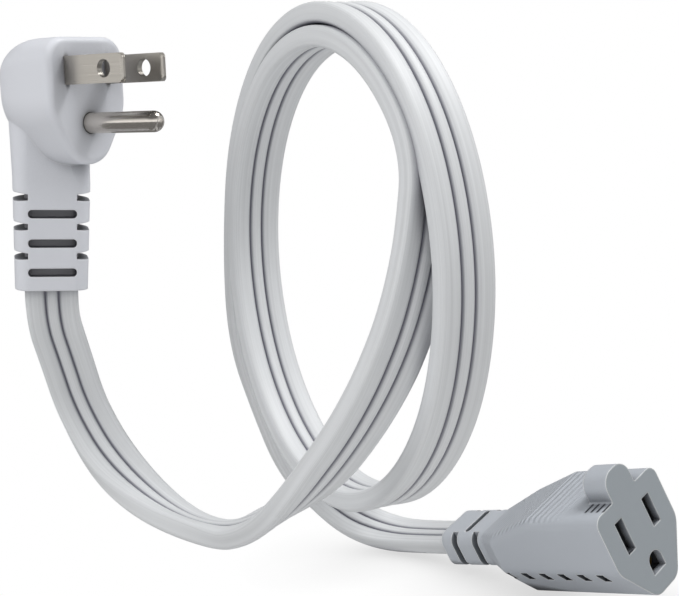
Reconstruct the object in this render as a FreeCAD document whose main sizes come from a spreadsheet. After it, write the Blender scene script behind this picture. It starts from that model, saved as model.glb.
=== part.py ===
import FreeCAD, Part
import math
import os
import re
import Sketcher

# Driving sizes, millimetres and degrees
doc = FreeCAD.newDocument("flat_plug_cord_set")
sheet = doc.addObject("Spreadsheet::Sheet", "Sizes")
SIZES = {
    "blade_pitch": 12.7,
    "blade_height": 6.35,
    "blade_stock": 1.5,
    "blade_reach": 17.7,
    "blade_hole": 4.0,
    "blade_hole_from_face": 12.1,
    "blade_tip_slope": 0.9,
    "blade_tip_edge": 0.6,
    "blade_tail_height": 4.6,
    "pin_diameter": 4.75,
    "pin_reach": 21.6,
    "pin_drop": 11.9,
    "pin_root_diameter": 3.8,
    "pin_recess_diameter": 5.0,
    "pin_recess_depth": 0.5,
    "pin_tail_diameter": 2.4,
    "barrel_diameter": 3.4,
    "barrel_length": 6.0,
    "wire_diameter": 2.8,
    "head_half_width": 11.9,
    "head_top": 7.5,
    "head_side_foot": 9.5,
    "nose_half_width": 4.4,
    "nose_drop": 21.3,
    "head_top_corner": 5.5,
    "head_side_corner": 11.0,
    "nose_corner": 7.4,
    "head_straight": 7.0,
    "head_depth": 20.6,
    "head_dome": 5.0,
    "head_dome_top": 7.0,
    "face_edge": 1.5,
    "shoulder_start": 3.0,
    "shoulder_end": 25.5,
    "shoulder_front": 7.0,
    "shoulder_inset": 2.2,
    "crimp_setback": 15.7,
    "relief_setback": 11.9,
    "relief_lean": 5.5,
    "relief_turn": 40.0,
    "relief_width": 17.8,
    "relief_depth": 11.0,
    "relief_taper": 0.9,
    "relief_corner": 3.4,
    "relief_end": 50.7,
    "relief_core_half": 5.6,
    "notch_first": 28.5,
    "notch_inner": 1.4,
    "notch_outer": 2.9,
    "window_first": 32.4,
    "window_height": 2.0,
    "slot_row_pitch": 6.95,
    "slot_rows": 3,
    "cord_width": 12.4,
    "cord_thickness": 4.6,
    "cord_corner": 1.6,
    "cord_entry": 26.0,
    "lay_angle": 25.0,
    "conductor_pitch": 4.1,
    "bridge_front": 3.0,
    "bridge_back": 9.0,
    "bridge_half_width": 9.0,
    "bridge_top": 4.6,
    "bridge_side_foot": 8.6,
    "bridge_nose_half": 4.4,
    "bridge_drop": 15.4,
    "bridge_corner": 2.0,
    "socket_x": 104.5,
    "socket_y": -86.6,
    "socket_z": -122.3,
    "socket_yaw": -10.3,
    "socket_pitch": -20.5,
    "socket_roll": -13.8,
    "socket_half_width": 14.0,
    "socket_top": 9.5,
    "socket_side_foot": 7.0,
    "socket_nose_half": 5.0,
    "socket_drop": 20.0,
    "socket_top_corner": 3.0,
    "socket_side_corner": 6.0,
    "socket_nose_corner": 4.5,
    "socket_top_slope": 26.0,
    "socket_side_slope": 43.0,
    "socket_neck": 53.0,
    "socket_length": 71.0,
    "socket_relief_width": 16.5,
    "socket_relief_depth": 11.5,
    "socket_core_half": 5.5,
    "socket_axis_drop": 4.5,
    "lobe_half_width": 5.2,
    "lobe_top": 17.0,
    "lobe_depth": 8.0,
    "lobe_corner": 4.4,
    "lobe_foot": 0.8,
    "lobe_root": 3.0,
    "grip_notch_first": 6.5,
    "grip_notch_pitch": 7.0,
    "grip_notch_rows": 6,
    "grip_notch_length": 2.6,
    "grip_notch_height": 3.5,
    "grip_notch_depth": 2.4,
    "neutral_slot_height": 9.4,
    "hot_slot_height": 8.6,
    "slot_width": 3.3,
    "ground_hole": 5.6,
    "socket_notch_first": 56.6,
    "socket_notch_width": 2.4,
    "socket_window_first": 61.0,
    "socket_row_pitch": 8.8,
    "socket_rows": 2,
    "socket_cord_entry": 50.0,
    "carrier_front": 2.4,
    "carrier_back": 22.0,
    "cover_stock": 2.0,
    "carrier_half_width": 10.8,
    "carrier_top": 6.4,
    "carrier_side_foot": 6.6,
    "carrier_nose_half": 4.8,
    "carrier_drop": 16.8,
    "carrier_corner": 2.0,
    "cell_width": 5.0,
    "cell_height": 9.4,
    "ground_cell": 7.4,
    "spring_stock": 0.6,
    "spring_gap": 1.3,
    "spring_height": 6.0,
    "spring_start": 4.0,
    "spring_back": 18.0,
    "tail_height": 2.4,
    "socket_barrel_start": 27.0,
    "sleeve_bore": 4.5,
    "sleeve_slit": 1.0,
}
for row, (name, number) in enumerate(SIZES.items(), start=1):
    sheet.set(f"A{row}", name)
    sheet.set(f"B{row}", str(number))
    sheet.setAlias(f"B{row}", name)
doc.recompute()


def size(name):
    return float(sheet.get(name))


def bound(text):
    return re.sub(r"[a-z]\w*", lambda word: "Sizes." * (word[0] in SIZES) + word[0], text)


def number_of(text):
    return float(sheet.evalExpression(text))


# Sketch and feature helpers
def new_body(name):
    body = doc.addObject("PartDesign::Body", name)
    body.Label = name
    return body


def new_sketch(body, name, role, away="0", turn_axis=None, turn="0", shift=("0", "0")):
    sketch = body.newObject("Sketcher::SketchObject", name)
    plane = next(item for item in body.Origin.OriginFeatures if item.Role == role)
    sketch.AttachmentSupport = [(plane, "")]
    sketch.MapMode = "FlatFace"
    if turn_axis:
        rotation = FreeCAD.Rotation(FreeCAD.Vector(*turn_axis), number_of(turn))
        sketch.AttachmentOffset = FreeCAD.Placement(FreeCAD.Vector(), rotation)
        sketch.setExpression("AttachmentOffset.Rotation.Angle", bound(turn))
    for axis, text in zip("xyz", (*shift, away)):
        sketch.setExpression(f"AttachmentOffset.Base.{axis}", bound(text))
    doc.recompute()
    return sketch


def add_outline(sketch, corners):
    places = [FreeCAD.Vector(number_of(x), number_of(y), 0) for x, y, _ in corners]
    count = len(corners)
    first = sketch.GeometryCount
    lines = [first + index for index in range(count)]
    for index in range(count):
        sketch.addGeometry(Part.LineSegment(places[index], places[(index + 1) % count]), False)
    for index in range(count):
        sketch.addConstraint(
            Sketcher.Constraint("Coincident", lines[index], 2, lines[(index + 1) % count], 1))
    for index, (x, y, _) in enumerate(corners):
        for kind, text, place in (("DistanceX", x, places[index].x), ("DistanceY", y, places[index].y)):
            item = sketch.addConstraint(Sketcher.Constraint(kind, -1, 1, lines[index], 1, place))
            sketch.setExpression(f"Constraints[{item}]", bound(text))
    doc.recompute()
    for index, (_, _, radius) in enumerate(corners):
        if radius:
            corner, before, after = places[index], places[index - 1], places[(index + 1) % count]
            arc = sketch.GeometryCount
            sketch.fillet(lines[index - 1], lines[index], corner + (before - corner) * 0.3,
                          corner + (after - corner) * 0.3, number_of(radius), True, True)
            item = sketch.addConstraint(Sketcher.Constraint("Radius", arc, number_of(radius)))
            sketch.setExpression(f"Constraints[{item}]", bound(radius))
    doc.recompute()


def add_circle(sketch, x, y, diameter):
    centre = FreeCAD.Vector(number_of(x), number_of(y), 0)
    item = sketch.addGeometry(
        Part.Circle(centre, FreeCAD.Vector(0, 0, 1), number_of(diameter) / 2), False)
    for kind, text, place in (("DistanceX", x, centre.x), ("DistanceY", y, centre.y)):
        rule = sketch.addConstraint(Sketcher.Constraint(kind, -1, 1, item, 3, place))
        sketch.setExpression(f"Constraints[{rule}]", bound(text))
    rule = sketch.addConstraint(Sketcher.Constraint("Diameter", item, number_of(diameter)))
    sketch.setExpression(f"Constraints[{rule}]", bound(diameter))
    doc.recompute()


def mirrored(half):
    return [(f"-({x})", y, radius) for x, y, radius in reversed(half)] + half


def box_outline(x_low, x_high, y_low, y_high, radius=None):
    return [(x_low, y_low, radius), (x_high, y_low, radius),
            (x_high, y_high, radius), (x_low, y_high, radius)]


def extrude(body, kind, name, sketch, length, backwards=False, both=False):
    feature = body.newObject(f"PartDesign::{kind}", name)
    feature.Profile = sketch
    feature.Reversed = backwards
    feature.SideType = "Symmetric" if both else "One side"
    feature.setExpression("Length", bound(length))
    body.Tip = feature
    doc.recompute()
    return feature


def loft(body, name, sections, ruled=True):
    feature = body.newObject("PartDesign::AdditiveLoft", name)
    feature.Profile = sections[0]
    feature.Sections = sections[1:]
    feature.Ruled = ruled
    body.Tip = feature
    doc.recompute()
    return feature


def repeat(body, name, feature, axis, length, count, backwards=False):
    pattern = body.newObject("PartDesign::LinearPattern", name)
    pattern.Originals = [feature]
    pattern.Direction = axis
    pattern.Reversed = backwards
    pattern.setExpression("Length", bound(length))
    pattern.setExpression("Occurrences", bound(count))
    body.Tip = pattern
    doc.recompute()
    return pattern


def round_edges(body, name, radius, wanted):
    base = body.Tip
    edges = [f"Edge{index}" for index, edge in enumerate(base.Shape.Edges, start=1) if wanted(edge)]
    feature = body.newObject("PartDesign::Fillet", name)
    feature.Base = (base, edges)
    feature.setExpression("Radius", bound(radius))
    body.Tip = feature
    doc.recompute()
    return feature


def subtract(name, base, tools):
    fuse = doc.addObject("Part::MultiFuse", name + "_inside")
    fuse.Shapes = tools
    cut = doc.addObject("Part::Cut", name)
    cut.Base, cut.Tool = base, fuse
    cut.Label = name
    doc.recompute()
    return cut


# Straight runs joined by tangent arcs, between the middles of two runs of a route
def run_path(points, first, last, report=None):
    start = points[0] if first == 1 else (points[first - 1] + points[first]) * 0.5
    finish = points[-1] if last == len(points) - 2 else (points[last] + points[last + 1]) * 0.5
    edges, radii = [], []
    for before, corner, after in zip(points[first - 1:], points[first:last + 1], points[first + 1:]):
        back, ahead = before - corner, after - corner
        setback = 0.45 * min(back.Length, ahead.Length)
        back.normalize()
        ahead.normalize()
        half = (math.pi - back.getAngle(ahead)) / 2
        radius = setback / math.tan(half)
        inward = back + ahead
        inward.normalize()
        arc_start, arc_end = corner + back * setback, corner + ahead * setback
        middle = corner + inward * (radius / math.cos(half) - radius)
        edges += [Part.makeLine(start, arc_start), Part.Arc(arc_start, middle, arc_end).toShape()]
        radii.append(round(radius, 1))
        start = arc_end
    edges.append(Part.makeLine(start, finish))
    if report:
        print(report, "bend radii", radii)
    return Part.Wire(edges)


def round_wire(name, points):
    path = run_path(points, 1, len(points) - 2)
    direction = points[1] - points[0]
    circle = Part.Wire([Part.makeCircle(size("wire_diameter") / 2, points[0], direction)])
    item = doc.addObject("Part::Feature", name)
    item.Label = name
    item.Shape = path.makePipeShell([circle], True, False)
    return item


# Hot and neutral blades, folded flat stock with a crimp barrel behind
PLUG = FreeCAD.Placement()


def blade(name, side):
    body = new_body(name)
    profile = new_sketch(body, name + "_profile", "YZ_Plane", f"{side}blade_pitch / 2")
    add_outline(profile, [
        ("-blade_reach", "-blade_height / 2 + blade_tip_slope", None),
        ("-blade_reach + blade_tip_slope", "-blade_height / 2", None),
        ("bridge_front", "-blade_height / 2", None),
        ("bridge_front", "-blade_tail_height / 2", None),
        ("crimp_setback", "-blade_tail_height / 2", None),
        ("crimp_setback", "blade_tail_height / 2", None),
        ("bridge_front", "blade_tail_height / 2", None),
        ("bridge_front", "blade_height / 2", None),
        ("-blade_reach + blade_tip_slope", "blade_height / 2", None),
        ("-blade_reach", "blade_height / 2 - blade_tip_slope", None),
    ])
    extrude(body, "Pad", name + "_strip", profile, "blade_stock", both=True)
    round_edges(body, name + "_tip", "blade_tip_edge",
                lambda edge: edge.BoundBox.YMax < 0.01 - size("blade_reach"))
    hole = new_sketch(body, name + "_hole_outline", "YZ_Plane", f"{side}blade_pitch / 2")
    add_circle(hole, "-blade_hole_from_face", "0", "blade_hole")
    extrude(body, "Pocket", name + "_hole", hole, "blade_stock * 4", both=True)
    barrel = new_sketch(body, name + "_barrel_outline", "XY_Plane", "blade_tail_height / 2")
    add_circle(barrel, f"{side}blade_pitch / 2", "crimp_setback", "barrel_diameter")
    extrude(body, "Pad", name + "_barrel", barrel, "barrel_length", backwards=True)
    body.Placement = PLUG
    return body


hot_blade = blade("hot_blade", "-")
neutral_blade = blade("neutral_blade", "")

# Ground pin, turned with a round nose and a crimp barrel behind
ground_pin = new_body("ground_pin")
pin_profile = new_sketch(ground_pin, "pin_profile", "YZ_Plane", shift=("0", "-pin_drop"))
add_outline(pin_profile, [
    ("-pin_reach", "0", None),
    ("-pin_reach", "pin_diameter / 2", "pin_diameter * 0.45"),
    ("0", "pin_diameter / 2", None),
    ("0", "pin_root_diameter / 2", None),
    ("bridge_front", "pin_root_diameter / 2", None),
    ("bridge_front", "pin_tail_diameter / 2", None),
    ("crimp_setback", "pin_tail_diameter / 2", None),
    ("crimp_setback", "0", None),
])
pin_turned = ground_pin.newObject("PartDesign::Revolution", "pin_turned")
pin_turned.Profile = pin_profile
pin_turned.ReferenceAxis = (pin_profile, ["H_Axis"])
ground_pin.Tip = pin_turned
doc.recompute()
pin_barrel_outline = new_sketch(ground_pin, "pin_barrel_outline", "XY_Plane",
                                "pin_tail_diameter - pin_drop")
add_circle(pin_barrel_outline, "0", "crimp_setback", "barrel_diameter")
extrude(ground_pin, "Pad", "pin_barrel", pin_barrel_outline, "barrel_length", backwards=True)
ground_pin.Placement = PLUG

# Bridge that holds the three prongs, moulded first
plug_bridge = new_body("plug_bridge")
bridge_outline = new_sketch(plug_bridge, "bridge_outline", "XZ_Plane", "-bridge_front")
add_outline(bridge_outline, mirrored([
    ("bridge_half_width", "bridge_top", "bridge_corner"),
    ("bridge_half_width", "-bridge_side_foot", "bridge_corner"),
    ("bridge_nose_half", "-bridge_drop", "bridge_corner"),
]))
extrude(plug_bridge, "Pad", "bridge_block", bridge_outline, "bridge_back - bridge_front", backwards=True)
prong_holes = new_sketch(plug_bridge, "prong_holes", "XZ_Plane", "-bridge_front")
for side in ("-", ""):
    add_outline(prong_holes, box_outline(
        f"{side}blade_pitch / 2 - blade_stock / 2", f"{side}blade_pitch / 2 + blade_stock / 2",
        "-blade_tail_height / 2", "blade_tail_height / 2"))
add_circle(prong_holes, "0", "-pin_drop", "pin_tail_diameter")
extrude(plug_bridge, "Pocket", "prong_hole_cut", prong_holes, "bridge_back - bridge_front")
plug_bridge.Placement = PLUG

# Route of the flat cord in the turned frame of the strain relief
turn = math.radians(size("lay_angle"))
ACROSS = FreeCAD.Vector(math.cos(turn), -math.sin(turn), 0)
AHEAD = FreeCAD.Vector(-math.sin(turn), -math.cos(turn), 0)
UP = FreeCAD.Vector(0, 0, 1)


def lay(across, ahead, up):
    return ACROSS * across + AHEAD * ahead + UP * up


RELIEF = FreeCAD.Placement(
    FreeCAD.Vector(0, size("relief_setback"), 0),
    FreeCAD.Rotation(FreeCAD.Vector(1, 0, 0), size("relief_lean")).multiply(
        FreeCAD.Rotation(UP, -size("relief_turn"))))
relief_across = RELIEF.Rotation.multVec(FreeCAD.Vector(1, 0, 0))


def on_relief_axis(depth):
    return RELIEF.multVec(FreeCAD.Vector(0, 0, -depth))


SOCKET = FreeCAD.Placement(
    FreeCAD.Vector(size("socket_x"), size("socket_y"), size("socket_z")),
    FreeCAD.Rotation(size("socket_yaw"), size("socket_pitch"), size("socket_roll")))


def on_socket_axis(depth):
    return SOCKET.multVec(FreeCAD.Vector(0, depth, -size("socket_axis_drop")))


PLUG_TAIL = [
    (-3.6, -19.2, -68.1), (1.0, -22.2, -83.0), (6.5, -16.2, -97.5), (11.5, 2.9, -105.8),
    (15.0, 25.7, -105.6), (17.5, 45.4, -98.0), (20.5, 60.2, -87.7), (24.0, 70.7, -76.2),
    (28.0, 76.8, -65.2), (32.5, 78.7, -55.1), (36.0, 79.2, -45.4), (39.0, 78.7, -35.3)]
SOCKET_TAIL = [
    (50.0, -25.5, -71.7), (60.0, -35.4, -91.3), (74.0, -50.0, -114.3), (90.5, -63.0, -130.5),
    (102.5, -66.5, -141.5), (112.5, -60.5, -146.8)]
COIL_POINTS, COIL_STEP, COIL_START = 18, 30, 32
route = [on_relief_axis(size("relief_end")), on_relief_axis(size("relief_end") + 7)]
route += [lay(*point) for point in PLUG_TAIL]
tail_last = len(route) - 1
for index in range(COIL_POINTS):
    angle = math.radians(COIL_START + COIL_STEP * index)
    turns = index * COIL_STEP / 360
    route.append(lay(40.5 + 1.5 * turns,
                     42.0 - 1.5 * turns + (44.8 + 3.7 * turns) * math.cos(angle),
                     -44.5 + (50.3 + 5.2 * turns) * math.sin(angle)))
loop_last = len(route) - 1
route += [lay(*point) for point in SOCKET_TAIL]
route += [on_socket_axis(size("socket_length") + 14), on_socket_axis(size("socket_length"))]


def cord_section(place, direction, across):
    wide = FreeCAD.Vector(across).normalize()
    thin = direction.cross(wide).normalize()
    half_wide, half_thin, corner = size("cord_width") / 2, size("cord_thickness") / 2, size("cord_corner")
    edges, last = [], None
    for wide_sign, thin_sign in ((1, 1), (-1, 1), (-1, -1), (1, -1)):
        centre = place + wide * (wide_sign * (half_wide - corner)) + thin * (thin_sign * (half_thin - corner))
        tips = [wide * (wide_sign * corner), thin * (thin_sign * corner)]
        if wide_sign != thin_sign:
            tips.reverse()
        middle = (tips[0] + tips[1]).normalize() * corner
        if last:
            edges.append(Part.makeLine(last, centre + tips[0]))
        edges.append(Part.Arc(centre + tips[0], centre + middle, centre + tips[1]).toShape())
        last = centre + tips[1]
    edges.append(Part.makeLine(last, edges[0].firstVertex().Point))
    return Part.Wire(edges)


SECTION_AREA = size("cord_width") * size("cord_thickness") - (4 - math.pi) * size("cord_corner") ** 2


def cord_run(name, first, last, across, far_across=None):
    path = run_path(route, first, last, name)
    start = path.Edges[0].firstVertex(True).Point
    beside = [point + across * size("cord_width") for point in route]
    if far_across:
        for index in range(first + 1, last + 2):
            share = min(1, (index - first) / (last - first))
            aim = across * (1 - share) + far_across * share
            if share < 1:
                along = (route[index + 1] - route[index - 1]).normalize()
                aim = aim - along * aim.dot(along)
            beside[index] = route[index] + aim.normalize() * size("cord_width")
    sweep = Part.BRepOffsetAPI.MakePipeShell(path)
    sweep.setAuxiliarySpine(run_path(beside, first, last), True, 0)
    sweep.add(cord_section(start, path.Edges[0].tangentAt(0), across), False, False)
    sweep.build()
    sweep.makeSolid()
    item = doc.addObject("Part::Feature", name)
    item.Label = name
    item.Shape = sweep.shape()
    print(name, "length", round(path.Length, 1), "volume share",
          round(item.Shape.Volume / (path.Length * SECTION_AREA), 4))
    return item


def cord_end(name, start, end, across):
    item = doc.addObject("Part::Feature", name)
    item.Label = name
    item.Shape = Part.Face(cord_section(start, end - start, across)).extrude(end - start)
    return item


socket_across = SOCKET.Rotation.multVec(FreeCAD.Vector(1, 0, 0))
cord_plug_end = cord_end("cord_plug_end", on_relief_axis(size("cord_entry")),
                         on_relief_axis(size("relief_end")), relief_across)
cord_plug_tail = cord_run("cord_plug_tail", 1, tail_last, relief_across, ACROSS)
cord_loop = cord_run("cord_loop", tail_last + 1, loop_last, ACROSS)
cord_socket_tail = cord_run("cord_connector_tail", loop_last + 1, len(route) - 2, ACROSS, socket_across)
cord_socket_end = cord_end("cord_connector_end", on_socket_axis(size("socket_length")),
                           on_socket_axis(size("socket_cord_entry")), socket_across)

# Three insulated wires inside the plug
blade_foot = size("barrel_length") - size("blade_tail_height") / 2
pin_foot = size("pin_drop") - size("pin_tail_diameter") + size("barrel_length")
plug_wires = []
for name, sign, foot, rise in (("plug_hot_wire", -1, blade_foot, 6), ("plug_neutral_wire", 1, blade_foot, 6),
                               ("plug_ground_wire", 0, pin_foot, 3)):
    entry = size("cord_entry")
    beside = relief_across * (sign * size("conductor_pitch"))
    last = FreeCAD.Vector(sign * size("blade_pitch") / 2, size("crimp_setback"), -foot)
    plug_wires.append(round_wire(name, [
        on_relief_axis(entry) + beside, on_relief_axis(entry - rise) + beside, last - UP * rise, last]))

# Plug overmould, a domed head with a shoulder that runs into the segmented strain relief
plug_outer = new_body("plug_outer")


def head_section(name, away, inset="0", lowered="0"):
    side, foot = f"(head_half_width - {inset})", f"(head_side_foot - {inset} * 0.5)"
    nose, drop = f"(nose_half_width - {inset} * 0.2)", f"(nose_drop - {inset} * 1.6)"
    nose_turn = f"(90 deg - atan(({side} - {nose}) / ({drop} - {foot})))"
    section = new_sketch(plug_outer, name, "XZ_Plane", away)
    add_outline(section, mirrored([
        (side, f"head_top - {lowered}", f"head_top_corner - {inset} * 0.4"),
        (side, f"-{foot}", "head_side_corner"),
        (nose, f"-{drop}", f"min(nose_corner - {inset} * 0.6; {nose} * 0.98 / tan({nose_turn} / 2))"),
    ]))
    return section


extrude(plug_outer, "Pad", "plug_head", head_section("head_face", "0"), "head_straight", backwards=True)
round_edges(plug_outer, "face_round", "face_edge", lambda edge: edge.BoundBox.YMax < 0.01)
dome_sections = [head_section("dome_start", "-head_straight")]
for angle in (28, 52, 70, 83):
    rise, fall = math.sin(math.radians(angle)), 1 - math.cos(math.radians(angle))
    dome_sections.append(head_section(
        f"dome_{angle}", f"-head_straight - (head_depth - head_straight) * {rise:.4f}",
        f"head_dome * {fall:.4f}", f"head_dome_top * {fall:.4f}"))
loft(plug_outer, "head_back", dome_sections, ruled=False)
pin_recess_outline = new_sketch(plug_outer, "pin_recess_outline", "XZ_Plane")
add_circle(pin_recess_outline, "0", "-pin_drop", "pin_recess_diameter")
extrude(plug_outer, "Pocket", "pin_recess", pin_recess_outline, "pin_recess_depth")
plug_outer.Placement = PLUG

plug_relief = new_body("plug_relief")


def relief_outline(name, away, taper="0"):
    section = new_sketch(plug_relief, name, "XY_Plane", away)
    add_outline(section, box_outline(
        f"({taper} - relief_width) / 2", f"(relief_width - {taper}) / 2",
        f"({taper} - relief_depth) / 2", f"(relief_depth - {taper}) / 2", "relief_corner"))
    return section


shoulder_top = new_sketch(plug_relief, "shoulder_top", "XY_Plane", "-shoulder_start",
                          (0, 0, 1), "relief_turn")
add_outline(shoulder_top, box_outline(
    "shoulder_inset - head_half_width", "head_half_width - shoulder_inset",
    "shoulder_front - relief_setback", "head_depth - shoulder_inset - relief_setback", "relief_corner"))
loft(plug_relief, "shoulder", [
    shoulder_top, relief_outline("shoulder_foot", "-shoulder_end"),
    relief_outline("relief_foot", "-relief_end", "relief_taper")])
relief_slots = new_sketch(plug_relief, "relief_slots", "XZ_Plane")
for side in ("-", ""):
    add_outline(relief_slots, [
        (f"{side}relief_core_half", "-notch_first - notch_inner / 2", None),
        (f"{side}relief_width", "-notch_first - notch_outer / 2 - notch_inner / 2", None),
        (f"{side}relief_width", "-notch_first + notch_outer / 2 + notch_inner / 2", None),
        (f"{side}relief_core_half", "-notch_first + notch_inner / 2", None),
    ])
add_outline(relief_slots, box_outline(
    "-relief_core_half", "relief_core_half", "-window_first - window_height / 2",
    "-window_first + window_height / 2", "window_height * 0.45"))
slot_row = extrude(plug_relief, "Pocket", "slot_row", relief_slots, "relief_depth * 2.5", both=True)
repeat(plug_relief, "slot_rows_cut", slot_row, (relief_slots, ["V_Axis"]),
       "slot_row_pitch * (slot_rows - 1)", "slot_rows", backwards=True)
plug_relief.Placement = RELIEF
plug_shell = doc.addObject("Part::MultiFuse", "plug_shell")
plug_shell.Shapes = [plug_outer, plug_relief]
plug_overmould = subtract("plug_overmould", plug_shell, [
    plug_bridge, hot_blade, neutral_blade, ground_pin, *plug_wires, cord_plug_end])

# Spring contacts of the connector, folded strip with a crimp barrel
def blade_contact(name, side):
    body = new_body(name)
    profile = new_sketch(body, name + "_profile", "XY_Plane", shift=(f"{side}blade_pitch / 2", "0"))
    half = [
        ("spring_gap", "spring_start", None),
        ("spring_gap + spring_stock", "spring_start", None),
        ("spring_gap / 2 + spring_stock", "spring_start + spring_gap * 3", None),
        ("spring_gap / 2 + spring_stock * 1.5", "spring_back", None),
        ("spring_stock / 2", "spring_back", None),
        ("spring_stock / 2", "socket_barrel_start + spring_stock", None),
    ]
    inner = [
        ("spring_gap / 2 + spring_stock / 2", "spring_back - spring_stock", None),
        ("spring_gap / 2", "spring_start + spring_gap * 3", None),
    ]
    left = [(f"-({x})", y, radius) for x, y, radius in half]
    left_inner = [(f"-({x})", y, radius) for x, y, radius in inner]
    add_outline(profile, half + left[::-1] + left_inner[::-1] + inner)
    extrude(body, "Pad", name + "_strip", profile, "spring_height", both=True)
    trim = new_sketch(body, name + "_trim", "YZ_Plane", f"{side}blade_pitch / 2")
    for sign in ("-", ""):
        add_outline(trim, box_outline("spring_back", "socket_barrel_start * 2",
                                      f"{sign}tail_height / 2", f"{sign}spring_height"))
    extrude(body, "Pocket", name + "_trim_cut", trim, "cell_width", both=True)
    barrel = new_sketch(body, name + "_barrel_outline", "XZ_Plane", "-socket_barrel_start")
    add_circle(barrel, f"{side}blade_pitch / 2", "0", "barrel_diameter")
    extrude(body, "Pad", name + "_barrel", barrel, "barrel_length", backwards=True)
    body.Placement = SOCKET
    return body


neutral_contact = blade_contact("neutral_contact", "-")
hot_contact = blade_contact("hot_contact", "")

# Ground contact, a split sleeve
ground_contact = new_body("ground_contact")
sleeve_outline = new_sketch(ground_contact, "sleeve_outline", "XZ_Plane", "-spring_start")
add_circle(sleeve_outline, "0", "-pin_drop", "sleeve_bore + spring_stock * 2")
add_circle(sleeve_outline, "0", "-pin_drop", "sleeve_bore")
extrude(ground_contact, "Pad", "sleeve", sleeve_outline, "spring_back - spring_start", backwards=True)
slit_outline = new_sketch(ground_contact, "slit_outline", "XZ_Plane", "-spring_start")
add_outline(slit_outline, box_outline("-sleeve_slit / 2", "sleeve_slit / 2",
                                      "-pin_drop - sleeve_bore", "-pin_drop"))
extrude(ground_contact, "Pocket", "slit", slit_outline, "(spring_back - spring_start) * 0.8")
sleeve_floor_outline = new_sketch(ground_contact, "sleeve_floor_outline", "XZ_Plane", "-spring_back")
add_circle(sleeve_floor_outline, "0", "-pin_drop", "sleeve_bore + spring_stock * 2")
extrude(ground_contact, "Pad", "sleeve_floor", sleeve_floor_outline, "spring_stock", backwards=True)
ground_tail_outline = new_sketch(ground_contact, "ground_tail_outline", "XZ_Plane", "-spring_back")
add_outline(ground_tail_outline, box_outline(
    "-spring_stock / 2", "spring_stock / 2", "-pin_drop - tail_height / 2", "-pin_drop + tail_height / 2"))
extrude(ground_contact, "Pad", "ground_tail", ground_tail_outline,
        "socket_barrel_start + spring_stock - spring_back", backwards=True)
ground_barrel_outline = new_sketch(ground_contact, "ground_barrel_outline", "XZ_Plane",
                                   "-socket_barrel_start")
add_circle(ground_barrel_outline, "0", "-pin_drop", "barrel_diameter")
extrude(ground_contact, "Pad", "ground_barrel", ground_barrel_outline, "barrel_length", backwards=True)
ground_contact.Placement = SOCKET

# Contact carrier with three cells, and the cover that closes them
def carrier_block(name, start, end):
    body = new_body(name)
    section = new_sketch(body, name + "_outline", "XZ_Plane", f"-({start})")
    add_outline(section, mirrored([
        ("carrier_half_width", "carrier_top", "carrier_corner"),
        ("carrier_half_width", "-carrier_side_foot", "carrier_corner"),
        ("carrier_nose_half", "-carrier_drop", "carrier_corner"),
    ]))
    extrude(body, "Pad", name + "_block", section, f"{end} - ({start})", backwards=True)
    return body


contact_carrier = carrier_block("contact_carrier", "carrier_front", "carrier_back")
cells = new_sketch(contact_carrier, "cells", "XZ_Plane", "-carrier_front")
for side in ("-", ""):
    add_outline(cells, box_outline(
        f"{side}blade_pitch / 2 - cell_width / 2", f"{side}blade_pitch / 2 + cell_width / 2",
        "-cell_height / 2", "cell_height / 2"))
add_outline(cells, box_outline("-ground_cell / 2", "ground_cell / 2",
                               "-pin_drop - ground_cell / 2", "-pin_drop + ground_cell / 2"))
extrude(contact_carrier, "Pocket", "cell_cut", cells, "carrier_back - carrier_front")
contact_carrier.Placement = SOCKET

carrier_cover = carrier_block("carrier_cover", "carrier_back", "carrier_back + cover_stock")
tail_slots = new_sketch(carrier_cover, "tail_slots", "XZ_Plane", "-carrier_back")
for x, z in (("-blade_pitch / 2", "0"), ("blade_pitch / 2", "0"), ("0", "-pin_drop")):
    add_outline(tail_slots, box_outline(
        f"{x} - spring_stock / 2", f"{x} + spring_stock / 2",
        f"{z} - tail_height / 2", f"{z} + tail_height / 2"))
extrude(carrier_cover, "Pocket", "tail_slot_cut", tail_slots, "cover_stock")
carrier_cover.Placement = SOCKET
carrier_space = carrier_block("carrier_space", "carrier_front", "carrier_back + cover_stock")
carrier_space.Placement = SOCKET

# Three insulated wires inside the connector, hot and neutral crossing over
def in_socket(x, y, z):
    return SOCKET.multVec(FreeCAD.Vector(x, y, z))


barrel_back = size("socket_barrel_start") + size("barrel_length")
wire_back = size("socket_cord_entry")
drop, side = size("socket_axis_drop"), size("blade_pitch") / 2
lobe = size("conductor_pitch")
middle = (barrel_back + wire_back) / 2
socket_wires = [
    round_wire("connector_hot_wire", [
        in_socket(side, barrel_back, 0), in_socket(side, barrel_back + 3.5, 0),
        in_socket(0, middle, 2.2), in_socket(-lobe, wire_back - 3.5, -drop),
        in_socket(-lobe, wire_back, -drop)]),
    round_wire("connector_neutral_wire", [
        in_socket(-side, barrel_back, 0), in_socket(-side, barrel_back + 3.5, 0),
        in_socket(0, middle, -2.4), in_socket(lobe, wire_back - 3.5, -drop),
        in_socket(lobe, wire_back, -drop)]),
    round_wire("connector_ground_wire", [
        in_socket(0, barrel_back, -size("pin_drop")), in_socket(0, barrel_back + 4, -size("pin_drop")),
        in_socket(0, wire_back - 4, -drop), in_socket(0, wire_back, -drop)]),
]

# Connector overmould with the slotted face, grip notches and strain relief
socket_outer = new_body("socket_outer")


def socket_section(name, away, top="socket_top"):
    section = new_sketch(socket_outer, name, "XZ_Plane", away)
    add_outline(section, mirrored([
        ("socket_half_width", top, "socket_top_corner"),
        ("socket_half_width", "-socket_side_foot", "socket_side_corner"),
        ("socket_nose_half", "-socket_drop", "socket_nose_corner"),
    ]))
    return section


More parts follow.
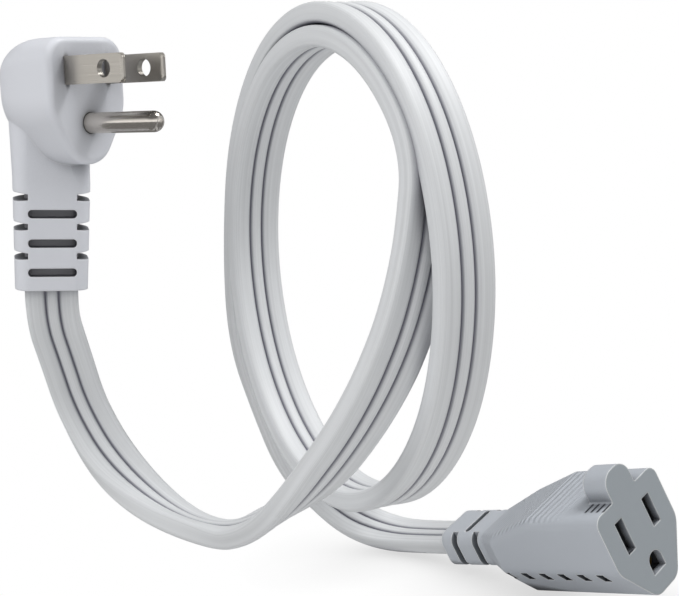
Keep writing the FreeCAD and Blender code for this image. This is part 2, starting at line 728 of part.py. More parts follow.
neck_top = "(socket_relief_depth / 2 - socket_axis_drop)"
slope_share = "(socket_side_slope - socket_top_slope) / (socket_neck - socket_top_slope)"
socket_neck = new_sketch(socket_outer, "socket_neck_outline", "XZ_Plane", "-socket_neck")
add_outline(socket_neck, mirrored([
    ("socket_relief_width / 2", neck_top, "relief_corner * 0.6"),
    ("socket_relief_width / 2", "-socket_relief_depth / 4 - socket_axis_drop", "relief_corner * 0.6"),
    ("socket_relief_width / 2 - relief_corner", "-socket_relief_depth / 2 - socket_axis_drop",
     "relief_corner * 0.6"),
]))
loft(socket_outer, "socket_barrel", [
    socket_section("socket_face", "0"), socket_section("socket_shoulder", "-socket_top_slope"),
    socket_section("socket_waist", "-socket_side_slope",
                   f"socket_top + ({neck_top} - socket_top) * {slope_share}"),
    socket_neck])
socket_relief_outline = new_sketch(socket_outer, "socket_relief_outline", "XZ_Plane",
                                   "-socket_neck + lobe_root")
add_outline(socket_relief_outline, box_outline(
    "-socket_relief_width / 2", "socket_relief_width / 2", "-socket_relief_depth / 2 - socket_axis_drop",
    "socket_relief_depth / 2 - socket_axis_drop", "relief_corner"))
extrude(socket_outer, "Pad", "socket_relief", socket_relief_outline,
        "socket_length - socket_neck + lobe_root", backwards=True)
lobe_outline = new_sketch(socket_outer, "lobe_outline", "XZ_Plane")
add_outline(lobe_outline, mirrored([
    ("lobe_half_width", "lobe_top", "lobe_corner"),
    ("lobe_half_width", "socket_top", "lobe_foot * 0.8"),
    ("lobe_half_width + lobe_foot", "socket_top", None),
    ("lobe_half_width + lobe_foot", "socket_top - lobe_root", None),
]))
extrude(socket_outer, "Pad", "lobe", lobe_outline, "lobe_depth", backwards=True)
grip_outline = new_sketch(socket_outer, "grip_outline", "XZ_Plane", "-grip_notch_first")
grip_low = "-socket_side_foot - socket_side_corner * 0.05"
for sign in ("-", ""):
    add_outline(grip_outline, [
        (f"{sign}socket_half_width", grip_low, None),
        (f"{sign}(socket_half_width - grip_notch_depth)", grip_low, None),
        (f"{sign}(socket_half_width - grip_notch_depth * 2)", f"{grip_low} - grip_notch_height", None),
        (f"{sign}socket_half_width", f"{grip_low} - grip_notch_height", None),
    ])
grip_notch = extrude(socket_outer, "Pocket", "grip_notch", grip_outline, "grip_notch_length")
repeat(socket_outer, "grip_notches", grip_notch, (grip_outline, ["N_Axis"]),
       "grip_notch_pitch * (grip_notch_rows - 1)", "grip_notch_rows", backwards=True)
face_slots = new_sketch(socket_outer, "face_slots", "XZ_Plane")
for x, height in (("-blade_pitch / 2", "neutral_slot_height"), ("blade_pitch / 2", "hot_slot_height")):
    add_outline(face_slots, box_outline(f"{x} - slot_width / 2", f"{x} + slot_width / 2",
                                        f"-{height} / 2", f"{height} / 2"))
add_outline(face_slots, [
    ("-ground_hole / 2", "-pin_drop - ground_hole / 2", None),
    ("ground_hole / 2", "-pin_drop - ground_hole / 2", None),
    ("ground_hole / 2", "-pin_drop + ground_hole / 2", "ground_hole * 0.49"),
    ("-ground_hole / 2", "-pin_drop + ground_hole / 2", "ground_hole * 0.49"),
])
extrude(socket_outer, "Pocket", "face_slot_cut", face_slots, "carrier_front")
window_outline = new_sketch(socket_outer, "socket_window_outline", "XY_Plane", "-socket_axis_drop")
add_outline(window_outline, box_outline(
    "-socket_core_half", "socket_core_half", "socket_window_first - window_height / 2",
    "socket_window_first + window_height / 2", "window_height * 0.45"))
extrude(socket_outer, "Pocket", "socket_window", window_outline, "socket_relief_depth * 2.5", both=True)
socket_slots = new_sketch(socket_outer, "socket_slots", "XY_Plane", "-socket_axis_drop")
for sign in ("-", ""):
    add_outline(socket_slots, box_outline(
        f"{sign}socket_core_half", f"{sign}socket_relief_width",
        "socket_notch_first - socket_notch_width / 2", "socket_notch_first + socket_notch_width / 2"))
socket_slot_row = extrude(socket_outer, "Pocket", "socket_slot_row", socket_slots,
                          "socket_relief_depth * 2.5", both=True)
repeat(socket_outer, "socket_slot_rows", socket_slot_row, (socket_slots, ["V_Axis"]),
       "socket_row_pitch * (socket_rows - 1)", "socket_rows")
socket_outer.Placement = SOCKET
connector_overmould = subtract("connector_overmould", socket_outer, [
    carrier_space, hot_contact, neutral_contact, ground_contact, *socket_wires, cord_socket_end])

# Every state and shape is tested before the files are written
doc.recompute()
nodes = [
    plug_overmould, plug_bridge, hot_blade, neutral_blade, ground_pin, *plug_wires,
    cord_plug_end, cord_plug_tail, cord_loop, cord_socket_tail, cord_socket_end,
    connector_overmould, contact_carrier, carrier_cover, hot_contact, neutral_contact,
    ground_contact, *socket_wires]
for item in doc.Objects:
    if "Invalid" in item.State or "Error" in item.State:
        raise RuntimeError(f"{item.Name} did not recompute: {item.State}")
for node in nodes:
    if node.Shape.isNull() or not node.Shape.isValid():
        raise RuntimeError(f"{node.Label} has no valid shape")
    print(node.Label, "solids", len(node.Shape.Solids), "volume", round(node.Shape.Volume, 1))
os.makedirs("parts", exist_ok=True)
for node in nodes:
    node.Shape.exportStep(f"parts/{node.Label}.step")
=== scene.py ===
import math

import bmesh
import bpy
from mathutils import Matrix, Vector


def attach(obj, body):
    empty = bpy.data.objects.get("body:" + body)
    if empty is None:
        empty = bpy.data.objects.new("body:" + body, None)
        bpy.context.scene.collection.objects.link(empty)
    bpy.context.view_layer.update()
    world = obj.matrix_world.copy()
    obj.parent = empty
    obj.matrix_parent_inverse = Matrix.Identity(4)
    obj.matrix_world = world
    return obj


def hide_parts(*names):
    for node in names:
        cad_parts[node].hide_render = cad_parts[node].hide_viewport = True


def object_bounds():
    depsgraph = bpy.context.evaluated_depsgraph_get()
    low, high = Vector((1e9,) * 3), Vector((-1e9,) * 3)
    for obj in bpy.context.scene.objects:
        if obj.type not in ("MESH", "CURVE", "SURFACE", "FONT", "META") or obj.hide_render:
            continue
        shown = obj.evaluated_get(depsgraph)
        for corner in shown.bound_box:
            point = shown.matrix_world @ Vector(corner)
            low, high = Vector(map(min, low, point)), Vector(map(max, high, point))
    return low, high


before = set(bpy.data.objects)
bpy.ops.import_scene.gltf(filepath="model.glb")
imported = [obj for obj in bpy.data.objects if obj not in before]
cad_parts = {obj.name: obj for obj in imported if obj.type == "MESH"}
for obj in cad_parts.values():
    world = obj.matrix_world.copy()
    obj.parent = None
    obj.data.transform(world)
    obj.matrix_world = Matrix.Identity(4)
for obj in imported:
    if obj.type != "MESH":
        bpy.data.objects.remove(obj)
cad_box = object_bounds()

# Moulded plug body
# One light grey vinyl moulding, shot around the prongs and the end of the cord, runs from the contact face
# down to the slotted strain relief. Its edges are softer on the head than on the thin relief below.
RELIEF_TOP, HEAD_FOOT = -0.027, -0.022
GRAIN_MM, GRAIN_DEPTH_MM, GRAIN_STRENGTH = 0.35, 0.06, 0.12
CLOUD_MM, CLOUD_SPREAD = 18.0, 0.05
EDGE_STARTS, EDGE_FULL = 0.99, 0.86
CREASE_SHUT, CREASE_OPEN = 0.35, 0.97
VINYL_IOR = 1.45


def linear(code):
    shares = [int(code[i:i + 2], 16) / 255 for i in (1, 3, 5)]
    return (*[s / 12.92 if s <= 0.04045 else ((s + 0.055) / 1.055) ** 2.4 for s in shares], 1.0)


def add(tree, kind, sockets=None, **settings):
    item = tree.nodes.new("ShaderNode" + kind)
    for name, value in settings.items():
        setattr(item, name, value)
    for socket, source in (sockets or {}).items():
        if isinstance(source, bpy.types.NodeSocket):
            tree.links.new(source, item.inputs[socket])
        else:
            item.inputs[socket].default_value = source
    return item


def new_material(name):
    material = bpy.data.materials.new(name)
    material.use_nodes = True
    material.node_tree.nodes.clear()
    return material, material.node_tree


def finish_material(tree, shader):
    add(tree, "OutputMaterial", {"Surface": shader})


def paint(node, material):
    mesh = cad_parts[node].data
    mesh.materials.clear()
    mesh.materials.append(material)


# Mould grain and uneven gloss break up the light. Edges are painted paler, partly rubbed wear and partly
# painted highlight, and creases are painted darker as painted shade. The grain is drawn coarser than a real
# one, so that it shows.
def moulded_vinyl(name, colour, shade, worn_and_highlight, roughness, relief_edge_mm, head_edge_mm, crease_mm,
                  details=None):
    material, tree = new_material(name)
    place = add(tree, "TexCoord").outputs["Object"]
    grain = add(tree, "TexNoise", {"Vector": place, "Scale": 1000 / GRAIN_MM, "Detail": 3.0})
    cloud = add(tree, "TexNoise", {"Vector": place, "Scale": 1000 / CLOUD_MM, "Detail": 2.0})
    height = add(tree, "SeparateXYZ", {"Vector": place}).outputs["Z"]
    edge_size = add(tree, "MapRange", {"Value": height, "From Min": RELIEF_TOP, "From Max": HEAD_FOOT,
                                       "To Min": relief_edge_mm / 1000, "To Max": head_edge_mm / 1000})
    soft_normal = add(tree, "Bevel", {"Radius": edge_size.outputs["Result"]}, samples=8).outputs["Normal"]
    true_normal = add(tree, "NewGeometry").outputs["Normal"]
    same = add(tree, "VectorMath", {0: soft_normal, 1: true_normal}, operation="DOT_PRODUCT")
    edge = add(tree, "MapRange", {"Value": same.outputs["Value"], "From Min": EDGE_STARTS,
                                  "From Max": EDGE_FULL}).outputs["Result"]
    # Painted shade: ambient occlusion mixes the dark shade colour into creases and hollows.
    crease = add(tree, "AmbientOcclusion", {"Distance": crease_mm / 1000}, samples=8)
    open_share = add(tree, "MapRange", {"Value": crease.outputs["AO"], "From Min": CREASE_SHUT,
                                        "From Max": CREASE_OPEN}).outputs["Result"]
    # Painted highlight over rubbed wear: open convex edges are mixed towards the pale edge colour.
    rubbed_and_highlit = add(tree, "Math", {0: edge, 1: open_share}, operation="MULTIPLY").outputs["Value"]
    tone = add(tree, "Mix", {0: open_share, 6: linear(shade), 7: linear(colour)}, data_type="RGBA")
    base = add(tree, "Mix", {0: rubbed_and_highlit, 6: tone.outputs[2], 7: linear(worn_and_highlight)}, data_type="RGBA").outputs[2]
    gloss = add(tree, "MapRange", {"Value": cloud.outputs["Fac"], "To Min": roughness - CLOUD_SPREAD,
                                   "To Max": roughness + CLOUD_SPREAD}).outputs["Result"]
    grained = add(tree, "Bump", {"Height": grain.outputs["Fac"], "Normal": soft_normal,
                                 "Strength": GRAIN_STRENGTH, "Distance": GRAIN_DEPTH_MM / 1000})
    normal = grained.outputs["Normal"]
    if details:
        normal, base = details(tree, place, true_normal, normal, base)
    shader = add(tree, "BsdfPrincipled", {"Base Color": base, "Roughness": gloss, "Normal": normal,
                                          "IOR": VINYL_IOR})
    finish_material(tree, shader.outputs["BSDF"])
    return material


# Painted shade darkens the plug's creases, under the nose and round the prongs; painted highlight pales its
# edges.
plug_vinyl = moulded_vinyl("moulded light grey vinyl", "#DFE1E7", "#5C5E64", "#ECEDF1", roughness=0.42,
                           relief_edge_mm=0.5, head_edge_mm=1.0, crease_mm=14.0)
paint("plug_overmould", plug_vinyl)


# Prongs
# Two stamped blades and a turned ground pin, all nickel plated brass, are held by the moulding.
# Draw lines run along them and stretch the reflections, coarser than real ones so that they show.
LINE_LENGTH_MM, LINE_DEPTH_MM, LINE_STRENGTH = 33.3, 0.04, 0.08
LINE_SMOOTHER, LINE_DULLER = 0.08, 0.1


def plated_nickel(name, colour, roughness, line_mm):
    material, tree = new_material(name)
    place = add(tree, "TexCoord").outputs["Object"]
    spacing = (1000 / line_mm, 1000 / LINE_LENGTH_MM, 1000 / line_mm)
    stretch = add(tree, "Mapping", {"Vector": place, "Scale": spacing})
    noise = add(tree, "TexNoise", {"Vector": stretch.outputs["Vector"], "Scale": 1.0, "Detail": 2.0})
    lines = noise.outputs["Fac"]
    gloss = add(tree, "MapRange", {"Value": lines, "To Min": roughness - LINE_SMOOTHER,
                                   "To Max": roughness + LINE_DULLER})
    bump = add(tree, "Bump", {"Height": lines, "Strength": LINE_STRENGTH, "Distance": LINE_DEPTH_MM / 1000})
    shader = add(tree, "BsdfPrincipled", {"Base Color": linear(colour), "Metallic": 1.0,
                                          "Roughness": gloss.outputs["Result"],
                                          "Normal": bump.outputs["Normal"]})
    finish_material(tree, shader.outputs["BSDF"])
    return material


blade_nickel = plated_nickel("nickel plated stamped brass", "#C4BFB7", roughness=0.3, line_mm=0.25)
pin_nickel = plated_nickel("nickel plated turned brass", "#E2DCD4", roughness=0.2, line_mm=0.5)
for blade_node in ("hot_blade", "neutral_blade"):
    paint(blade_node, blade_nickel)
paint("ground_pin", pin_nickel)


# Pieces inside the plug and the connector
# Moulded nylon holds the metal, stamped brass springs grip the prongs of a plug, and three insulated wires
# join the metal to the cord. They are seen only deep in the slots, where the nylon and brass are painted
# dark and dull as painted shade.
def plain(name, colour, roughness, metallic=0.0):
    material, tree = new_material(name)
    shader = add(tree, "BsdfPrincipled", {"Base Color": linear(colour), "Roughness": roughness,
                                          "Metallic": metallic})
    finish_material(tree, shader.outputs["BSDF"])
    return material


# Painted shade: the nylon and brass are darker than their own colours, for the dark slots.
nylon = plain("moulded grey nylon", "#585A5E", roughness=0.5)
brass = plain("stamped spring brass", "#8A7142", roughness=0.45, metallic=1.0)
CONTACT_NODES = ("hot_contact", "neutral_contact", "ground_contact")
WIRE_COLOURS = {"hot": "#17181A", "neutral": "#E4E4E0", "ground": "#1F7A3C"}
for inner_node in ("plug_bridge", "contact_carrier", "carrier_cover"):
    paint(inner_node, nylon)
for contact_node in CONTACT_NODES:
    paint(contact_node, brass)
for wire, wire_colour in WIRE_COLOURS.items():
    insulation = plain(f"extruded {wire} wire insulation", wire_colour, roughness=0.35)
    paint(f"plug_{wire}_wire", insulation)
    paint(f"connector_{wire}_wire", insulation)

# Flat cord
# Three conductors in one extruded vinyl ribbon, grooved either side of the middle one, join both mouldings.
# A smooth line runs through the same points, listed in millimetres, as the swept solids it replaces.
LAY_ANGLE = math.radians(25)
ACROSS = Vector((math.cos(LAY_ANGLE), -math.sin(LAY_ANGLE), 0))
AHEAD = Vector((-math.sin(LAY_ANGLE), -math.cos(LAY_ANGLE), 0))
UP = Vector((0, 0, 1))
CORD_WIDTH, CORD_THICKNESS, CORD_CORNER = 0.0124, 0.0046, 0.001

RELIEF_SETBACK, RELIEF_END, RELIEF_STRAIGHT = 0.0119, 0.0507, 0.007
RELIEF_LEAN, RELIEF_TWIST = math.radians(5.5), math.radians(-40)
RELIEF_TURN = Matrix.Rotation(RELIEF_LEAN, 3, "X") @ Matrix.Rotation(RELIEF_TWIST, 3, "Z")

CONNECTOR_FACE = Vector((0.1045, -0.0866, -0.1223))
CONNECTOR_EXIT, CONNECTOR_AXIS, CONNECTOR_STRAIGHT = 0.071, -0.0045, 0.014
CONNECTOR_YAW, CONNECTOR_PITCH = math.radians(-10.3), math.radians(-20.5)
CONNECTOR_ROLL = math.radians(-13.8)
CONNECTOR_TURN = (Matrix.Rotation(CONNECTOR_YAW, 3, "Z") @ Matrix.Rotation(CONNECTOR_PITCH, 3, "Y")
                  @ Matrix.Rotation(CONNECTOR_ROLL, 3, "X"))

PLUG_TAIL = [
    (-3.6, -19.2, -68.1), (1.0, -22.2, -83.0), (6.5, -16.2, -97.5), (11.5, 2.9, -105.8),
    (15.0, 25.7, -105.6), (17.5, 45.4, -98.0), (20.5, 60.2, -87.7), (24.0, 70.7, -76.2),
    (28.0, 76.8, -65.2), (32.5, 78.7, -55.1), (36.0, 79.2, -45.4), (39.0, 78.7, -35.3)]
LOOP_POINTS, POINTS_PER_TURN, LOOP_START = 18, 12, 32
LOOP_ACROSS, LOOP_AHEAD, LOOP_UP = 40.5, 42.0, -44.5
LOOP_HALF_LONG, LOOP_HALF_TALL = 44.8, 50.3
TURN_SHIFT, TURN_LONGER, TURN_TALLER = 1.5, 3.7, 5.2
CONNECTOR_TAIL = [
    (50.0, -25.5, -71.7), (60.0, -35.4, -91.3), (74.0, -50.0, -114.3), (90.5, -63.0, -130.5),
    (102.5, -66.5, -141.5), (112.5, -60.5, -146.8)]
STEPS_PER_POINT = 20


def lay(across, ahead, up):
    return (ACROSS * across + AHEAD * ahead + UP * up) / 1000


def on_relief(depth):
    return Vector((0, RELIEF_SETBACK, 0)) + RELIEF_TURN @ Vector((0, 0, -depth))


def on_connector(depth):
    return CONNECTOR_FACE + CONNECTOR_TURN @ Vector((0, depth, CONNECTOR_AXIS))


route = [on_relief(RELIEF_END), on_relief(RELIEF_END + RELIEF_STRAIGHT)]
route += [lay(*point) for point in PLUG_TAIL]
for index in range(LOOP_POINTS):
    turns = index / POINTS_PER_TURN
    angle = math.radians(LOOP_START + 360 * turns)
    half_long = LOOP_HALF_LONG + TURN_LONGER * turns
    half_tall = LOOP_HALF_TALL + TURN_TALLER * turns
    route.append(lay(LOOP_ACROSS + TURN_SHIFT * turns,
                     LOOP_AHEAD - TURN_SHIFT * turns + half_long * math.cos(angle),
                     LOOP_UP + half_tall * math.sin(angle)))
loop_knots = len(route)
route += [lay(*point) for point in CONNECTOR_TAIL]
route += [on_connector(CONNECTOR_EXIT + CONNECTOR_STRAIGHT), on_connector(CONNECTOR_EXIT)]

scene = bpy.context.scene
line_data = bpy.data.curves.new("cord_line", "CURVE")
line_data.dimensions = "3D"
spline = line_data.splines.new("NURBS")
spline.points.add(len(route) - 1)
for point, place in zip(spline.points, route):
    point.co = (*place, 1)
spline.order_u = 3
spline.use_endpoint_u = True
line_data.resolution_u = STEPS_PER_POINT
line = bpy.data.objects.new("cord_line", line_data)
scene.collection.objects.link(line)
line_mesh = bpy.data.meshes.new_from_object(line.evaluated_get(bpy.context.evaluated_depsgraph_get()))
path = [vertex.co.copy() for vertex in line_mesh.vertices]
bpy.data.objects.remove(line)

# Half of one wide face, from rim to middle: millimetres across, millimetres deep and share of painted
# groove shade
LOBE_AND_GROOVE = (
    (4.5, 0.0, 0.0), (3.4, 0.04, 0.0), (2.6, 0.18, 0.0), (2.1, 0.38, 0.1), (1.8, 0.62, 0.5),
    (1.55, 1.0, 1.0), (1.3, 0.6, 0.5), (1.05, 0.36, 0.1), (0.7, 0.2, 0.0), (0.3, 0.12, 0.0))
CORNER_STEP = 15


def ribbon_section():
    half_wide, half_thin = CORD_WIDTH / 2, CORD_THICKNESS / 2
    quarter = []
    for degrees in range(0, 91, CORNER_STEP):
        turn = math.radians(degrees)
        quarter.append((half_wide - CORD_CORNER + CORD_CORNER * math.cos(turn),
                        half_thin - CORD_CORNER + CORD_CORNER * math.sin(turn), 0.0))
    quarter += [(x / 1000, half_thin - depth / 1000, groove) for x, depth, groove in LOBE_AND_GROOVE]
    upper = quarter + [(-x, y, groove) for x, y, groove in reversed(quarter)]
    return upper + [(-x, -y, groove) for x, y, groove in upper]


# The ribbon hangs square to the relief, turns edge-on at the sag, then lies across the loop,
# and turns at its end to lie across the connector.
HANGING_KNOT, SAG_KNOT, TURNED_KNOT = 3.6, 6.4, 8.6
relief_across = RELIEF_TURN @ Vector((1, 0, 0))
sag_across = Vector((0.7165, 0.6572, -0.2))
connector_across = CONNECTOR_TURN @ Vector((1, 0, 0))


def eased(share):
    share = min(1.0, max(0.0, share))
    return share * share * (3 - 2 * share)


section = ribbon_section()
ribbon_bm = bmesh.new()
groove_layer = ribbon_bm.verts.layers.float.new("groove")
uv_layer = ribbon_bm.loops.layers.uv.new("cord")
rings, run, cord_length = [], [], 0.0
for index, place in enumerate(path):
    before, after = path[max(index - 1, 0)], path[min(index + 1, len(path) - 1)]
    along = (after - before).normalized()
    knot = index / (len(path) - 1) * len(route)
    to_sag = eased((knot - HANGING_KNOT) / (SAG_KNOT - HANGING_KNOT))
    to_loop = eased((knot - SAG_KNOT) / (TURNED_KNOT - SAG_KNOT))
    to_connector = eased((knot - loop_knots) / (len(route) - 1 - loop_knots))
    across = relief_across.lerp(sag_across, to_sag).lerp(ACROSS, to_loop)
    across = across.lerp(connector_across, to_connector)
    wide = (across - along * across.dot(along)).normalized()
    thin = along.cross(wide)
    if index:
        cord_length += (place - path[index - 1]).length
    ring = []
    for x, y, groove in section:
        vertex = ribbon_bm.verts.new(place + wide * x + thin * y)
        vertex[groove_layer] = groove
        ring.append(vertex)
    rings.append(ring)
    run.append(cord_length)

around = len(section)
for index in range(len(rings) - 1):
    for step in range(around):
        places = ((index, step), (index, step + 1), (index + 1, step + 1), (index + 1, step))
        panel = ribbon_bm.faces.new([rings[u][v % around] for u, v in places])
        panel.smooth = True
        for corner, (u, v) in zip(panel.loops, places):
            corner[uv_layer].uv = (run[u], v / around)
ribbon_bm.faces.new(rings[0])
ribbon_bm.faces.new(rings[-1])
bmesh.ops.recalc_face_normals(ribbon_bm, faces=ribbon_bm.faces)
ribbon_mesh = bpy.data.meshes.new("flat_cord")
ribbon_bm.to_mesh(ribbon_mesh)
ribbon_bm.free()
flat_cord = bpy.data.objects.new("flat_cord", ribbon_mesh)
scene.collection.objects.link(flat_cord)

STREAK_LENGTH_MM, STREAK_WIDTH_MM, STREAK_DEPTH_MM, STREAK_STRENGTH = 83.3, 0.378, 0.08, 0.1


# Streaks from the die run along the ribbon, wider than real ones so that they show.
# Its grooves get painted shade, and painted shade darkens it where strands touch or lie close.
def extruded_vinyl(name, colour, groove_shade, shade, roughness, crease_mm):
    material, tree = new_material(name)
    uv = add(tree, "UVMap", uv_map="cord").outputs["UV"]
    girth_mm = 2 * 1000 * (CORD_WIDTH + CORD_THICKNESS)
    spacing = (1000 / STREAK_LENGTH_MM, girth_mm / STREAK_WIDTH_MM, 1.0)
    stretch = add(tree, "Mapping", {"Vector": uv, "Scale": spacing})
    noise = add(tree, "TexNoise", {"Vector": stretch.outputs["Vector"], "Scale": 1.0, "Detail": 3.0})
    lines = noise.outputs["Fac"]
    streak = add(tree, "MapRange", {"Value": lines, "From Min": 0.3, "From Max": 0.7,
                                    "To Min": 0.88, "To Max": 1.02}).outputs["Result"]
    groove = add(tree, "Attribute", attribute_name="groove").outputs["Fac"]
    # Painted shade: the groove colour darkens the grooves.
    tone = add(tree, "Mix", {0: groove, 6: linear(colour), 7: linear(groove_shade)}, data_type="RGBA")
    # Painted shade where strands touch or lie close: ambient occlusion mixes in the shade colour.
    crease = add(tree, "AmbientOcclusion", {"Distance": crease_mm / 1000}, samples=8)
    open_share = add(tree, "MapRange", {"Value": crease.outputs["AO"], "From Min": 0.25, "From Max": 0.88})
    touching = add(tree, "Mix", {0: open_share.outputs["Result"], 6: linear(shade), 7: tone.outputs[2]},
                   data_type="RGBA")
    drawn = add(tree, "Mix", {0: 1.0, 6: touching.outputs[2], 7: streak}, data_type="RGBA",
                blend_type="MULTIPLY")
    bump = add(tree, "Bump", {"Height": lines, "Strength": STREAK_STRENGTH,
                              "Distance": STREAK_DEPTH_MM / 1000})
    shader = add(tree, "BsdfPrincipled", {"Base Color": drawn.outputs[2], "Normal": bump.outputs["Normal"],
                                          "Roughness": roughness, "IOR": VINYL_IOR})
    finish_material(tree, shader.outputs["BSDF"])
    return material


cord_vinyl = extruded_vinyl("extruded light grey vinyl", "#E2E4E6", "#40405A", "#84848E", roughness=0.5,
                            crease_mm=4.0)
flat_cord.data.materials.append(cord_vinyl)
# The cord's ends inside the slots get a darker copy of its vinyl, as painted shade.
shaded_vinyl = plain("extruded vinyl in painted slot shade", "#A6A6AC", roughness=0.5)
for end_node in ("cord_plug_end", "cord_connector_end"):
    paint(end_node, shaded_vinyl)
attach(flat_cord, "root")
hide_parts("cord_plug_tail", "cord_loop", "cord_connector_tail")

# Connector body
# A darker grey vinyl moulding with two slots, a ground hole, grip notches and its own strain relief,
# shot around the other end of the cord. Low ribs cross its top and three short cuts, painted dark as
# painted shade, lie beside the lobe. Its face gets painted shade and its strain relief painted light.
RIB_PITCH, RIB_START, RIB_END, RIB_FADE_IN, RIB_FADE_OUT = 0.002, 0.012, 0.05, 0.012, 0.002
CUTS_END, CUTS_INNER, CUTS_OUTER, CUTS_FADE = 0.0082, -0.0052, -0.0098, 0.0006
DETAIL_DEPTH_MM, DETAIL_STRENGTH = 0.2, 0.8
RELIEF_FADE = 0.006


# How far a point lies in a region: the product of soft limits, each with where it starts and is full
def region(tree, limits):
    inside = 1.0
    for value, start, full in limits:
        share = add(tree, "MapRange", {"Value": value, "From Min": start, "From Max": full})
        inside = add(tree, "Math", {0: inside, 1: share.outputs["Result"]},
                     operation="MULTIPLY").outputs["Value"]
    return inside


def connector_details(tree, place, true_normal, normal, base):
    local = add(tree, "Mapping", {"Vector": place, "Location": CONNECTOR_FACE,
                                  "Rotation": CONNECTOR_TURN.to_euler()}, vector_type="TEXTURE")
    side, depth, _ = add(tree, "SeparateXYZ", {"Vector": local.outputs["Vector"]}).outputs
    phase = add(tree, "Math", {0: depth, 1: 2 * math.pi / RIB_PITCH}, operation="MULTIPLY").outputs["Value"]
    wave = add(tree, "Math", {0: phase}, operation="SINE").outputs["Value"]
    upward = add(tree, "VectorMath", {0: true_normal, 1: CONNECTOR_TURN @ UP}, operation="DOT_PRODUCT")
    outward = add(tree, "VectorMath", {0: true_normal, 1: CONNECTOR_TURN @ Vector((0, -1, 0))},
                  operation="DOT_PRODUCT")
    on_top = (upward.outputs["Value"], 0.7, 0.85)
    ribbed = region(tree, (on_top, (depth, RIB_START, RIB_START + RIB_FADE_IN),
                           (depth, RIB_END, RIB_END - RIB_FADE_OUT)))
    # Painted shade: the three short cuts are mixed towards a dark tone.
    cut = region(tree, (on_top, (wave, 0.1, 0.6), (depth, CUTS_END, CUTS_END - CUTS_FADE),
                        (side, CUTS_INNER, CUTS_INNER - CUTS_FADE),
                        (side, CUTS_OUTER, CUTS_OUTER + CUTS_FADE)))
    # Painted shade: the face, square to the connector's axis, is multiplied darker.
    on_face = region(tree, [(outward.outputs["Value"], 0.97, 0.99)])
    # Painted light: the strain relief past the ribs is screened paler.
    past_ribs = region(tree, [(depth, RIB_END, RIB_END + RELIEF_FADE)])
    ribs = add(tree, "Math", {0: wave, 1: ribbed}, operation="MULTIPLY").outputs["Value"]
    raised = add(tree, "Math", {0: ribs, 1: cut}, operation="SUBTRACT").outputs["Value"]
    normal = add(tree, "Bump", {"Height": raised, "Normal": normal, "Strength": DETAIL_STRENGTH,
                                "Distance": DETAIL_DEPTH_MM / 1000}).outputs["Normal"]
    for share, tone, blend in ((on_face, "#CFD2D1", "MULTIPLY"), (past_ribs, "#5A5C60", "SCREEN"),
                               (cut, "#3C3F45", "MIX")):
        base = add(tree, "Mix", {0: share, 6: base, 7: linear(tone)}, data_type="RGBA",
                   blend_type=blend).outputs[2]
    return normal, base


# Painted shade darkens the connector's creases and painted highlight over rubbed wear pales its rims.
connector_vinyl = moulded_vinyl("moulded mid grey vinyl", "#BEC3CA", "#4E5157", "#F8F9FA", roughness=0.45,
                                relief_edge_mm=0.7, head_edge_mm=0.7, crease_mm=5.0,
                                details=connector_details)
paint("connector_overmould", connector_vinyl)

# Camera and picture
# The lens and the place come from the known prong pattern, measured in the photo.
# The camera stands a little above the loop and looks at the plug from its hot side.
CAMERA_RIGHT = Vector((0.5806, -0.8133, -0.0383))
CAMERA_UP = Vector((0.1411, 0.0542, 0.9885))
CAMERA_BACK = Vector((-0.8019, -0.5793, 0.1462))
CAMERA_PLACE = Vector((-0.22854, -0.23301, -0.00684))
camera = bpy.data.objects.new("camera", bpy.data.cameras.new("camera"))
camera.data.sensor_width = 36.0
camera.data.lens = 74.23
camera.data.clip_start = 0.01
camera.matrix_world = Matrix.Translation(CAMERA_PLACE) @ Matrix(
    (CAMERA_RIGHT, CAMERA_UP, CAMERA_BACK)).transposed().to_4x4()
scene.collection.objects.link(camera)
scene.camera = camera
scene.render.engine = "CYCLES"
scene.cycles.samples = 256
scene.cycles.use_denoising = True
scene.render.resolution_x, scene.render.resolution_y = 679, 596
scene.render.resolution_percentage = 100
scene.view_settings.view_transform = "Standard"

# Floor
# White paper lies just under the loop. The camera sees it white with a faint painted shadow close to the
# object, metal sees it mid grey, and it lights the object as pale paper does.
FLOOR_GAP, FLOOR_HALF, SHADOW_REACH, SHADOW_TONE = 0.0005, 4, 0.03, 0.6
WHITE = (1, 1, 1, 1)
floor_mesh = bpy.data.meshes.new("floor")
floor_z = cad_box[0][2] - FLOOR_GAP
floor_corners = [(FLOOR_HALF * x, FLOOR_HALF * y, floor_z) for x, y in ((-1, -1), (1, -1), (1, 1), (-1, 1))]
floor_mesh.from_pydata(floor_corners, [], [(0, 1, 2, 3)])
floor = bpy.data.objects.new("floor", floor_mesh)
scene.collection.objects.link(floor)
floor_paper, paper_tree = new_material("white paper floor")
paper_rays = add(paper_tree, "LightPath").outputs
paper = add(paper_tree, "BsdfDiffuse", {"Color": linear("#E8E8E8")}).outputs["BSDF"]
grey_paper = add(paper_tree, "Emission", {"Color": linear("#787878"), "Strength": 1.0}).outputs["Emission"]
# Painted shadow: ambient occlusion dims the white that the camera sees near the object.
near = add(paper_tree, "AmbientOcclusion", {"Distance": SHADOW_REACH}, samples=16).outputs["AO"]
shadow = add(paper_tree, "MapRange", {"Value": near, "To Min": SHADOW_TONE, "To Max": 1.0})
white_paper = add(paper_tree, "Emission", {"Color": WHITE,
                                           "Strength": shadow.outputs["Result"]}).outputs["Emission"]
in_metal = add(paper_tree, "MixShader", {"Fac": paper_rays["Is Glossy Ray"], 1: paper, 2: grey_paper})
in_view = add(paper_tree, "MixShader", {"Fac": paper_rays["Is Camera Ray"], 1: in_metal.outputs["Shader"],
                                        2: white_paper})
finish_material(paper_tree, in_view.outputs["Shader"])
floor.data.materials.append(floor_paper)

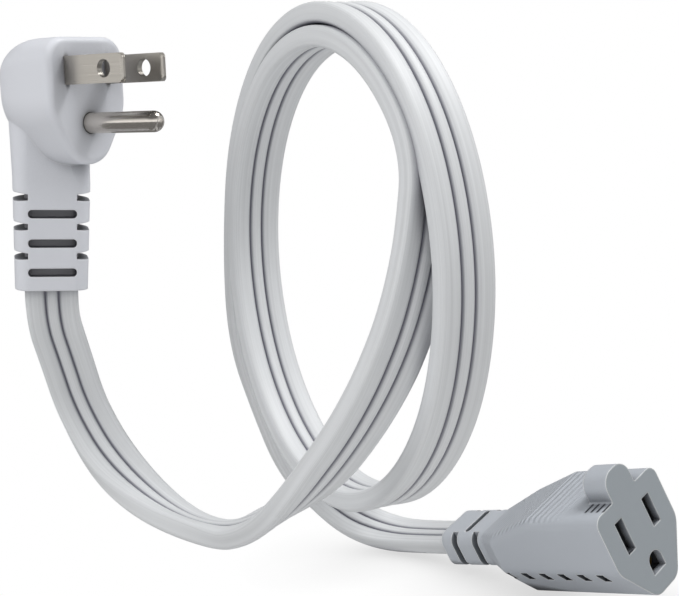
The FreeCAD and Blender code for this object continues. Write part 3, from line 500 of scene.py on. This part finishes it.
# Studio light
# The sky is white to the camera and a soft light to the object, dimmer from behind it. Metal sees a bright
# band at its own height. Two soft boxes stand above, a small one to the right and a wide one to the left.
AMBIENT, BAND_BRIGHT, BAND_DARK, BACK_SHARE = 0.63, 1.3, 0.12, 0.3
world = bpy.data.worlds.new("studio")
scene.world = world
world.use_nodes = True
sky_tree = world.node_tree
sky_tree.nodes.clear()
sky_rays = add(sky_tree, "LightPath").outputs
ray = add(sky_tree, "TexCoord").outputs["Generated"]
rise = add(sky_tree, "SeparateXYZ", {"Vector": ray}).outputs["Z"]
slope = add(sky_tree, "Math", {0: rise}, operation="ABSOLUTE").outputs["Value"]
band = add(sky_tree, "MapRange", {"Value": slope, "From Min": 0.1, "From Max": 0.5,
                                  "To Min": BAND_BRIGHT, "To Max": BAND_DARK}).outputs["Result"]
toward = add(sky_tree, "VectorMath", {0: ray, 1: CAMERA_BACK}, operation="DOT_PRODUCT").outputs["Value"]
front = add(sky_tree, "MapRange", {"Value": toward, "From Min": -0.6, "From Max": 0.3,
                                   "To Min": BACK_SHARE, "To Max": 1.0}).outputs["Result"]
ambient = add(sky_tree, "MapRange", {"Value": sky_rays["Is Glossy Ray"], "To Min": AMBIENT,
                                     "To Max": band}).outputs["Result"]
studio = add(sky_tree, "Math", {0: ambient, 1: front}, operation="MULTIPLY").outputs["Value"]
strength = add(sky_tree, "MapRange", {"Value": sky_rays["Is Camera Ray"], "To Min": studio})
sky = add(sky_tree, "Background", {"Color": WHITE, "Strength": strength.outputs["Result"]})
add(sky_tree, "OutputWorld", {"Surface": sky.outputs["Background"]})

OBJECT_MIDDLE = Vector((0.05, -0.04, -0.065))


def soft_box(name, right, up, back, reach, width, power, mirrored):
    aim = (CAMERA_RIGHT * right + CAMERA_UP * up + CAMERA_BACK * back).normalized()
    light = bpy.data.objects.new(name, bpy.data.lights.new(name, "AREA"))
    light.data.size = width
    light.data.energy = power
    light.location = OBJECT_MIDDLE + aim * reach
    light.rotation_euler = aim.to_track_quat("Z", "Y").to_euler()
    light.visible_glossy = mirrored
    scene.collection.objects.link(light)


soft_box("key", right=0.45, up=0.9, back=0.05, reach=0.5, width=0.16, power=1.2, mirrored=True)
soft_box("fill", right=-0.7, up=0.9, back=0.7, reach=0.8, width=0.4, power=1.9, mirrored=False)
